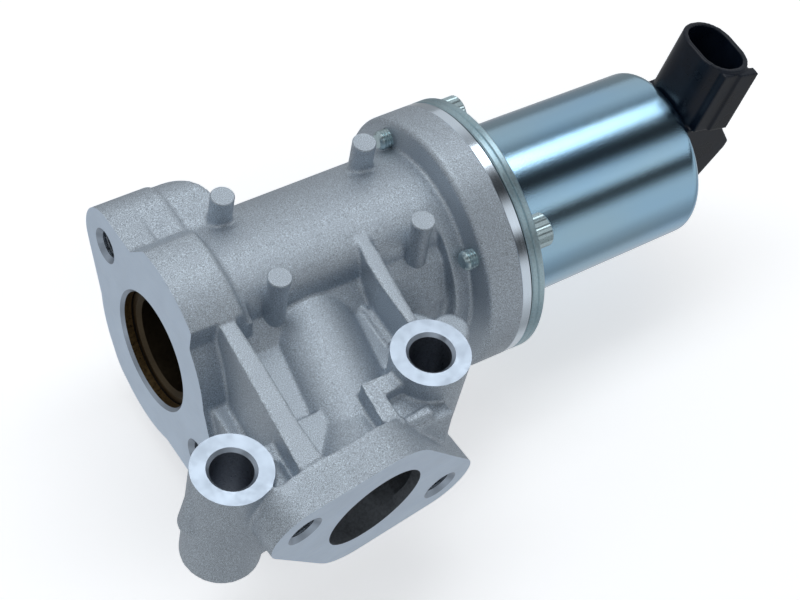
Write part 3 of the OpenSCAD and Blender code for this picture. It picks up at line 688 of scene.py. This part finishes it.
def housing_blank(sizes):
    """The casting before machining: bores filled, and stock left on the faces to be cut."""
    bm = opened_housing()
    stock = sizes.stock
    add_barrel(bm)
    add_web(bm)
    add_rod(bm, -INLET_HOLE, X_AXIS * LUG_LENGTH - INLET_HOLE, LUG_R)
    near_boss, far_boss = BOSSES
    add_rod(bm, far_boss - Z_AXIS * BOSS_LENGTH, far_boss, BOSS_R - 1.4 * MM, BOSS_R)
    add_rod(bm, far_boss, far_boss + Z_AXIS * stock, BOSS_R)
    raise_face(bm, INLET, INLET_OUT, stock)
    raise_face(bm, OUTLET, OUTLET_OUT, stock)
    raise_face(bm, X_AXIS * RING_X, X_AXIS, stock)
    add_rod(bm, near_boss - Z_AXIS * MM, near_boss + Z_AXIS * stock, BOSS_R)
    for boss in BOSSES:
        add_rod(bm, boss - Z_AXIS * BOSS_LENGTH, boss + Z_AXIS * stock, BOSS_BORE_R + 1.2 * MM)
    bore_fillers = ((-stock, 12 * MM, 15.7 * MM), (10 * MM, 48 * MM, 18 * MM), (45 * MM, 62 * MM, 9 * MM),
                    (59 * MM, RING_X + stock, 18.6 * MM))
    for start, end, radius in bore_fillers:
        add_rod(bm, X_AXIS * start, X_AXIS * end, radius)
    add_rod(bm, OUTLET - OUTLET_OUT * 12 * MM, OUTLET + OUTLET_OUT * stock, OUTLET_R + 0.5 * MM)
    for centre, out in flange_holes():
        add_rod(bm, centre - out * 16 * MM, centre + out * stock, 5 * MM)
    for place in screw_places():
        add_rod(bm, place + X_AXIS * RIM_X, place + X_AXIS * (RING_X + stock), SCREW_R + 0.6 * MM)
    return bm


def housing_tools(sizes):
    """The cutters that machine the casting."""
    deep, wide = 20 * MM, 120 * MM
    yield block("inlet_mill", Vector((-deep / 2, 11 * MM, 0)), (deep, 98 * MM, wide))
    yield block("rim_mill", X_AXIS * (RING_X + deep / 2), (deep, wide, wide))
    yield block("outlet_mill", OUTLET + OUTLET_OUT * deep / 2, (wide, wide, deep), OUTLET_TURN)
    drill = ((MM, 0), (MM, BOSS_BORE_R + BOSS_CHAMFER + MM), (-BOSS_CHAMFER, BOSS_BORE_R),
             (-BOSS_LENGTH - MM, BOSS_BORE_R), (-BOSS_LENGTH - MM, 0))
    for boss in BOSSES:
        yield rod("boss_mill", boss, boss + Z_AXIS * deep, BOSS_R + 4 * MM)
        yield turned("boss_drill", drill, boss, Z_AXIS)
    yield turned("axis_bore", [(x * MM, radius * MM) for x, radius in AXIS_BORE])
    yield rod("passage", PASSAGE_IN, PASSAGE_OUT, PASSAGE_R)
    yield rod("outlet_bore", OUTLET - OUTLET_OUT * OUTLET_DEPTH, OUTLET + OUTLET_OUT * MM, OUTLET_R)
    tap = tap_profile(sizes.thread_pitch)
    for centre, out in flange_holes():
        yield turned("tap", tap, centre, out, 40)
    for place in screw_places():
        start, end = place + X_AXIS * (RIM_X - MM), place + X_AXIS * (RING_X + MM)
        yield rod("rim_drill", start, end, SCREW_R + 0.01 * MM)


def depth_and_distance(point, start, out):
    """A point's depth under a place that looks out, and its distance from the line through that place."""
    offset = point - start
    depth = -offset.dot(out)
    return depth, (offset + out * depth).length


def housing_finish_of(face):
    """Which of the housing's finishes a face of the machined casting has."""
    centre, normal = face.calc_center_median(), face.normal
    if abs(centre.x) < IN_PLANE and normal.x < -0.99:
        return MILLED
    if abs((centre - OUTLET).dot(OUTLET_OUT)) < IN_PLANE and normal.dot(OUTLET_OUT) > 0.99:
        return MILLED
    for boss in BOSSES:
        off = (centre - boss).xy.length
        if off < BOSS_R + 0.3 * MM and abs(centre.z - boss.z) < IN_PLANE and normal.z > 0.99:
            return BRIGHT
        if off < BOSS_BORE_R + BOSS_CHAMFER + 0.1 * MM and centre.z > boss.z - BOSS_CHAMFER - 0.05 * MM:
            return BRIGHT
        if off < BOSS_BORE_R + 0.1 * MM:
            return BORED
    for hole, out in flange_holes():
        depth, off = depth_and_distance(centre, hole, out)
        if off < TAP_MOUTH + 0.05 * MM and depth < TAP_DEPTH + 6 * MM:
            return BRIGHT if depth < TAP_MOUTH - TAP_R + 0.05 * MM else THREAD
    radius = centre.yz.length
    if centre.x < 0.85 * MM and 14 * MM < radius < 15.6 * MM:
        return BRIGHT
    if radius < 15 * MM and 0 < centre.x < 11 * MM:
        # The deeper wall of the inlet port is painted near black: painted shade.
        return BROWNED if radius < 14.75 * MM else DEEP_PORT_SHADE
    if radius < 18.2 * MM and centre.x > 0:
        return BORED
    if abs(centre.x - RING_X) < IN_PLANE and normal.x > 0.99:
        return MILLED
    depth, off = depth_and_distance(centre, OUTLET, OUTLET_OUT)
    if off < OUTLET_R + 0.1 * MM and depth < 11 * MM:
        return PASSAGE
    _, off = depth_and_distance(centre, PASSAGE_IN, (PASSAGE_OUT - PASSAGE_IN).normalized())
    if off < PASSAGE_R + 0.1 * MM and -12 * MM > centre.y > OUTLET.y:
        return PASSAGE
    return CAST


def housing_materials(sizes):
    """The housing's finishes, in the order of their numbers."""
    return (cast_metal(sizes.colour),
            milled_metal("milled_face", sizes.machined, 0.34, (300, 300, 2500)),
            milled_metal("bright_face", sizes.bright, 0.34, (300, 300, 300)),
            bore_metal("drilled_bore", (0.34, 0.38, 0.45)),
            bore_metal("tapped_thread", (0.45, 0.50, 0.56), 0.25),
            bore_metal("cast_passage", (0.36, 0.39, 0.43), 0.5),
            bore_metal("browned_wall", (0.30, 0.20, 0.09), 0.35),
            # Near black for the deeper inlet port wall: painted shade.
            bore_metal("deep_port_painted_shade", (0.05, 0.042, 0.035), 0.5))


class EGR_OT_housing(Operator):
    """Makes the machined casting with round cast edges and tapped holes"""
    bl_idname = "egr.housing"
    bl_label = "Valve housing"

    def execute(self, context):
        sizes = context.scene.egr_casting
        piece = rounded(housing_blank(sizes), "housing_casting", sizes.voxel, sizes.rounding, sizes.keep)
        stub_profile = [(along * MM, radius * MM) for along, radius in STUB_SHAPE]
        cut(piece, [turned("stub", stub_profile, stub, Z_AXIS, 40) for stub in STUBS], "UNION")
        cut(piece, list(housing_tools(sizes)))
        piece.data.materials.clear()
        for material in housing_materials(sizes):
            piece.data.materials.append(material)
        bm = bmesh.new()
        bm.from_mesh(piece.data)
        bm.normal_update()
        for face in bm.faces:
            face.material_index = housing_finish_of(face)
        bm.to_mesh(piece.data)
        bm.free()
        shade(piece.data)
        settle(piece, "valve_housing")
        return {"FINISHED"}


# Flange stack and screws


def round_plate(name, start, end, outer, inner, edge, material, node):
    """A flat ring of the flange stack with broken edges and four screw holes."""
    profile = [(start, inner), (start, outer - edge), (start + edge, outer), (end - edge, outer),
               (end, outer - edge), (end, inner)]
    piece = turned(name, profile, steps=192, materials=[material])
    cut(piece, [rod("hole", place + X_AXIS * (start - MM), place + X_AXIS * (end + MM), SCREW_R + 0.25 * MM)
                for place in screw_places()])
    shade(piece.data)
    settle(piece, node)


class EGR_OT_stack(Operator):
    """Makes the bright ring, the gasket and the two plates"""
    bl_idname = "egr.stack"
    bl_label = "Flange stack"

    def execute(self, context):
        sizes = context.scene.egr_stack
        ring = turned_ring(sizes.ring)
        seal = moulded("black_seal", (0.02, 0.02, 0.022), 0.7)
        plate = zinc_plate("zinc_plate", sizes.plate, 0.34, 0.5 * MM)
        edge = sizes.edge * 1.6
        round_plate("bright_ring", RING_X, GASKET_X, RIM_R, 18 * MM, sizes.edge, ring, "bearing_ring")
        round_plate("gasket", GASKET_X, PLATE_X, RIM_R - 0.4 * MM, 18 * MM, 0.05 * MM, seal, "flange_gasket")
        round_plate("stem_plate", PLATE_X, COIL_FLANGE_X, RIM_R, 4.5 * MM, edge, plate, "spring_plate")
        round_plate("coil_plate", COIL_FLANGE_X, CAN_X, RIM_R, 9.89 * MM, edge, plate, "solenoid_flange")
        return {"FINISHED"}


def add_screw(bm, base, sizes):
    """One screw with a rounded thread and a knurled, chamfered head that stands on its base."""
    pitch = sizes.thread_pitch
    thread = [(0.3 * MM, 0), (0.3 * MM, SCREW_R - 0.3 * MM)]
    along = 0.0
    while along - pitch > SCREW_TIP + 0.5 * MM:
        thread += [(along - pitch * 0.25, SCREW_R - 0.45 * MM), (along - pitch * 0.75, SCREW_R)]
        along -= pitch
    thread += [(SCREW_TIP + 0.4 * MM, SCREW_R - 0.3 * MM), (SCREW_TIP, SCREW_R - 0.8 * MM), (SCREW_TIP, 0)]
    add_lathe(bm, thread, base, X_AXIS, 32)

    rim = bmesh.ops.create_circle(bm, cap_ends=True, segments=sizes.knurls * 2, radius=HEAD_R)["verts"]
    for groove in rim[1::2]:
        groove.co *= 1 - KNURL_DEPTH / HEAD_R
    sides, top = extruded(bm, [rim[0].link_faces[0]], Z_AXIS * (HEAD_HEIGHT - HEAD_CHAMFER))
    crown, _ = extruded(bm, top, Z_AXIS * HEAD_CHAMFER)
    bmesh.ops.delete(bm, geom=top, context="FACES_ONLY")
    for vert in crown:
        vert.co.xy *= 1 - HEAD_CHAMFER / HEAD_R
    upright = Matrix.Translation(base) @ Z_AXIS.rotation_difference(X_AXIS).to_matrix().to_4x4()
    bmesh.ops.transform(bm, matrix=upright, verts=rim + sides + crown)
    bmesh.ops.recalc_face_normals(bm, faces=bm.faces)


class EGR_OT_screws(Operator):
    """Makes the four socket screws"""
    bl_idname = "egr.screws"
    bl_label = "Flange screws"

    def execute(self, context):
        sizes = context.scene.egr_stack
        bases = [place + X_AXIS * CAN_X for place in screw_places()]
        bm = bmesh.new()
        for base in bases:
            add_screw(bm, base, sizes)
        piece = new_piece("socket_screws", bm, [zinc_plate("zinc_screw", sizes.screw, 0.3, 0.4 * MM)])
        floor, above = X_AXIS * SOCKET_FLOOR, X_AXIS * (HEAD_HEIGHT + MM)
        cut(piece, [rod("socket", base + floor, base + above, SOCKET_R, segments=6) for base in bases])
        shade(piece.data)
        settle(piece, "flange_screws")
        return {"FINISHED"}


# Solenoid and spring


class EGR_OT_connector(Operator):
    """Makes the moulded plug body with soft edges"""
    bl_idname = "egr.connector"
    bl_label = "Connector"

    def execute(self, context):
        sizes = context.scene.egr_solenoid
        plug = merged_copy("connector_housing")
        piece = rounded(plug, "plug_body", sizes.voxel, sizes.rounding, sizes.keep)
        piece.data.materials.append(moulded("black_plastic", sizes.plastic, 0.28))
        shade(piece.data, math.radians(40))
        settle(piece, "connector_housing")
        return {"FINISHED"}


class EGR_OT_spring(Operator):
    """Makes the round wire of the return spring at one fixed length, though the real spring shortens as the
    valve opens
    """
    bl_idname = "egr.spring"
    bl_label = "Return spring"

    def execute(self, context):
        sizes = context.scene.egr_solenoid
        wire, per_turn = sizes.wire, 40
        low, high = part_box("return_spring")[0].x + wire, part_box("return_spring")[1].x - wire
        closed_turns, open_turns = 0.75, 3.5
        closed_pitch = 2 * wire * 1.05
        open_pitch = (high - low - 2 * closed_turns * closed_pitch) / open_turns
        bm = bmesh.new()
        section = bmesh.ops.create_circle(bm, cap_ends=True, segments=14, radius=wire,
                                          matrix=Matrix.Translation((low, sizes.coil, 0)))["verts"]
        end = [section[0].link_faces[0]]
        coils = ((closed_turns, closed_pitch), (open_turns, open_pitch), (closed_turns, closed_pitch))
        for number, (turns, pitch) in enumerate(coils):
            made = bmesh.ops.spin(bm, geom=end, cent=(0, 0, 0), axis=X_AXIS, dvec=X_AXIS * pitch / per_turn,
                                  angle=math.tau * turns, steps=round(turns * per_turn))
            if number:
                bmesh.ops.delete(bm, geom=end, context="FACES_ONLY")
            end = of_kind(bmesh.types.BMFace, made["geom_last"])
        bmesh.ops.remove_doubles(bm, verts=bm.verts, dist=WELD)
        bmesh.ops.recalc_face_normals(bm, faces=bm.faces)
        steel = plain_metal("spring_steel", (0.36, 0.39, 0.44), 0.3)
        piece = new_piece("spring_wire", bm, [steel], math.radians(60))
        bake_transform(piece)
        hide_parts("return_spring")
        return {"FINISHED"}


class EGR_OT_finishes(Operator):
    """Gives the remaining parts of the frame their finishes"""
    bl_idname = "egr.finishes"
    bl_label = "Part finishes"

    def execute(self, context):
        # Bronze darkened to the shade that the seat sits in deep in the inlet port: painted shade, also on
        # the stem guide and armature sleeve.
        bronze = plain_metal("seat_bronze", (0.09, 0.07, 0.045), 0.4)
        # Nearly black steel: partly the real carbon on the poppet, partly painted shade of the inlet port's
        # inside.
        steel = plain_metal("valve_steel", (0.08, 0.075, 0.07), 0.4)
        ground = plain_metal("ground_steel", (0.50, 0.48, 0.44), 0.25)
        seal = moulded("soft_seal", (0.02, 0.02, 0.022), 0.7)
        finishes = {
            zinc_can(context.scene.egr_solenoid.can): ["solenoid_can"],
            bronze: ["valve_seat", "stem_guide", "armature_sleeve"],
            steel: ["poppet_valve", "deposit_shield", "seal_retainer", "spring_retainer", "retainer_clip"],
            ground: ["valve_stem", "armature", "pole_core", "flux_washer"],
            seal: ["stem_seal", "can_seal"],
            moulded("bobbin_plastic", (0.03, 0.03, 0.035), 0.45): ["coil_bobbin"],
            plain_metal("copper_wire", (0.62, 0.26, 0.12), 0.3): ["coil_winding"],
            plain_metal("tinned_blade", (0.68, 0.67, 0.62), 0.25): ["connector_terminals"]}
        for material, nodes in finishes.items():
            for node in nodes:
                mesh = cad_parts[node].data
                mesh.materials.clear()
                mesh.materials.append(material)
        return {"FINISHED"}


# Stage


def area_light(name, place, aim, width, height, power, colour):
    """A softbox at a place, turned to its aim, with its width along the valve axis."""
    data = bpy.data.lights.new(name, "AREA")
    data.shape = "RECTANGLE"
    data.size, data.size_y = width, height
    data.energy = power
    data.color = colour
    lamp = bpy.data.objects.new(name, data)
    back = (place - aim).normalized()
    across = (X_AXIS - back * X_AXIS.dot(back)).normalized()
    lamp.matrix_world = Matrix((across, back.cross(across), back)).transposed().to_4x4()
    lamp.location = place
    bpy.context.scene.collection.objects.link(lamp)


def studio(colour):
    """A room of long soft lights beside the valve axis."""
    room = bpy.data.worlds.new("room")
    shades = Shades(room, "Generated")
    across, up = shades.node("ShaderNodeSeparateXYZ", {}, {"Vector": shades.place}, output=("Y", "Z"))
    turn = shades.node("ShaderNodeMath", {"operation": "ARCTAN2"}, {0: up, 1: across}) / math.tau
    turn = shades.node("ShaderNodeMath", {"operation": "FRACT"}, {0: turn})
    peak = max(light for _, light in ROOM_LIGHT)
    stops = [(angle / 360, [c * light / peak for c in colour]) for angle, light in ROOM_LIGHT]
    lit = shades.node("ShaderNodeValToRGB", {"stops": stops}, {"Fac": turn})
    light = shades.node("ShaderNodeBackground", {}, {"Color": lit, "Strength": peak})
    shades.shine(light, "ShaderNodeOutputWorld")
    return room


def pale_floor(colour):
    """A wide plain floor just under the part, which lights neither the part nor its mirror images."""
    bm = bmesh.new()
    place = Matrix.Translation((0, 0, CAD_BOX[0][2] - FLOOR_GAP))
    bmesh.ops.create_grid(bm, x_segments=1, y_segments=1, size=FLOOR_REACH, matrix=place)
    finish = Finish("pale_floor")
    tone = finish.blend(finish.noise(0.3, 2, 0.5) * 0.1, colour, (0.95, 0.95, 0.96))
    floor = new_piece("floor", bm, [finish.surface(tone, 0.9, 0.0, glow=0.5)])
    floor.visible_diffuse = False
    floor.visible_glossy = False
    return floor


def photo_camera(sizes):
    """The camera, from its place, its heading, elevation and roll."""
    data = bpy.data.cameras.new("camera")
    data.sensor_width = 36
    data.lens = sizes.lens
    camera = bpy.data.objects.new("camera", data)
    heading, elevation = sizes.heading, sizes.elevation
    back = Vector((math.sin(heading) * math.cos(elevation), -math.cos(heading) * math.cos(elevation),
                   math.sin(elevation)))
    right = Vector((math.cos(heading), math.sin(heading), 0))
    turn = Matrix((right, back.cross(right), back)).transposed().to_4x4()
    roll = Matrix.Rotation(sizes.roll, 4, "Z")
    camera.matrix_world = Matrix.Translation(sizes.eye) @ turn @ roll
    bpy.context.scene.collection.objects.link(camera)
    return camera


class EGR_OT_stage(Operator):
    """Makes the floor, the soft light and the camera"""
    bl_idname = "egr.stage"
    bl_label = "Stage"

    def execute(self, context):
        scene = context.scene
        sizes = scene.egr_stage
        floor = pale_floor(sizes.floor)
        scene.world = studio(sizes.sky)
        place = MIDDLE + SOFTBOX_OFFSET
        area_light("top_softbox", place, MIDDLE, 1.2, 0.36, sizes.softbox, (0.95, 0.98, 1.0))
        scene.camera = photo_camera(sizes)
        scene.view_settings.view_transform = "Standard"
        return {"FINISHED"}


class EGR_PT_panel(Panel):
    """Lists the pieces of the valve"""
    bl_idname = "EGR_PT_panel"
    bl_label = "EGR Valve"
    bl_space_type = "VIEW_3D"
    bl_region_type = "UI"
    bl_category = "EGR Valve"

    def draw(self, context):
        for operator in OPERATORS:
            self.layout.operator(operator.bl_idname)
        for group in GROUPS:
            for name in group.__annotations__:
                self.layout.prop(getattr(context.scene, GROUPS[group]), name)


OPERATORS = (EGR_OT_housing, EGR_OT_stack, EGR_OT_screws, EGR_OT_connector, EGR_OT_spring, EGR_OT_finishes,
             EGR_OT_stage)
GROUPS = {CastingSizes: "egr_casting", StackSizes: "egr_stack", SolenoidSizes: "egr_solenoid",
          StageSizes: "egr_stage"}


def register():
    for group, name in GROUPS.items():
        bpy.utils.register_class(group)
        setattr(bpy.types.Scene, name, PointerProperty(type=group))
    for kind in (*OPERATORS, EGR_PT_panel):
        bpy.utils.register_class(kind)


def unregister():
    for kind in (EGR_PT_panel, *reversed(OPERATORS)):
        bpy.utils.unregister_class(kind)
    for group, name in GROUPS.items():
        delattr(bpy.types.Scene, name)
        bpy.utils.unregister_class(group)


def main():
    register()
    for operator in OPERATORS:
        getattr(bpy.ops.egr, operator.bl_idname.split(".")[1])()


if __name__ == "__main__":
    main()
